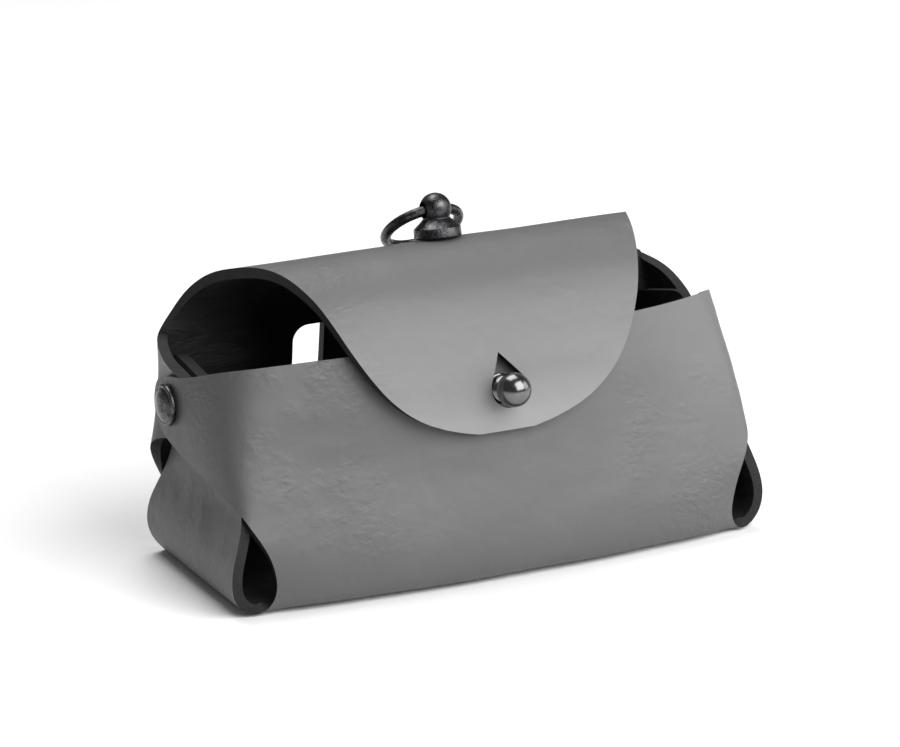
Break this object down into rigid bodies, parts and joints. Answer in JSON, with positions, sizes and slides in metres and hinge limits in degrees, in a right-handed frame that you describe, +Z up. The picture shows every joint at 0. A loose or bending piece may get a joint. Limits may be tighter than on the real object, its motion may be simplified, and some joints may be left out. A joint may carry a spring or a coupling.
{
  "type": "soft glasses case",
  "caption": "Soft glasses case folded from thick leather, with riveted ends, a curved flap that buttons on a ball stud, belt slots in the back and a loose ring on a post.",
  "frame": {"origin": "centre of the base's outer face, where the case stands", "axes": "+X along the case's length, -Y towards the front with the ball stud, +Z up out of the mouth"},
  "size_m": [0.1762, 0.0754, 0.1008],
  "materials": {
    "grey_leather": "smooth semi-matte grey face with fine wrinkles, near-black inner face and dark cut edges",
    "polished_nickel": "polished black nickel",
    "gunmetal": "dark gunmetal plating, slightly worn"
  },
  "bodies": {
    "case": {"leather_body": "grey_leather", "closure_stud": "polished_nickel", "closure_stud_screw": "gunmetal", "rivet_cap_left": "gunmetal", "rivet_cap_right": "gunmetal", "rivet_back_left": "gunmetal", "rivet_back_right": "gunmetal"},
    "flap": {"leather_flap": "grey_leather", "flap_buttonhole_strip": "grey_leather", "ring_post": "gunmetal", "ring_post_screw": "gunmetal"},
    "ring": {"o_ring": "gunmetal"}
  },
  "joints": [
    {"name": "flap_hinge", "type": "hinge", "parent": "case", "child": "flap", "pos_m": [0, 0.0285, 0.0668], "axis": [-1, 0, 0], "range_deg": [0, 140], "stiffness_Nm_per_rad": 0.02, "deforming": ["flap_buttonhole_strip"]},
    {"name": "ring_swing", "type": "hinge", "parent": "flap", "child": "ring", "pos_m": [0, 0.01137, 0.09621], "axis": [1, 0, 0], "range_deg": [0, 210]}
  ]
}
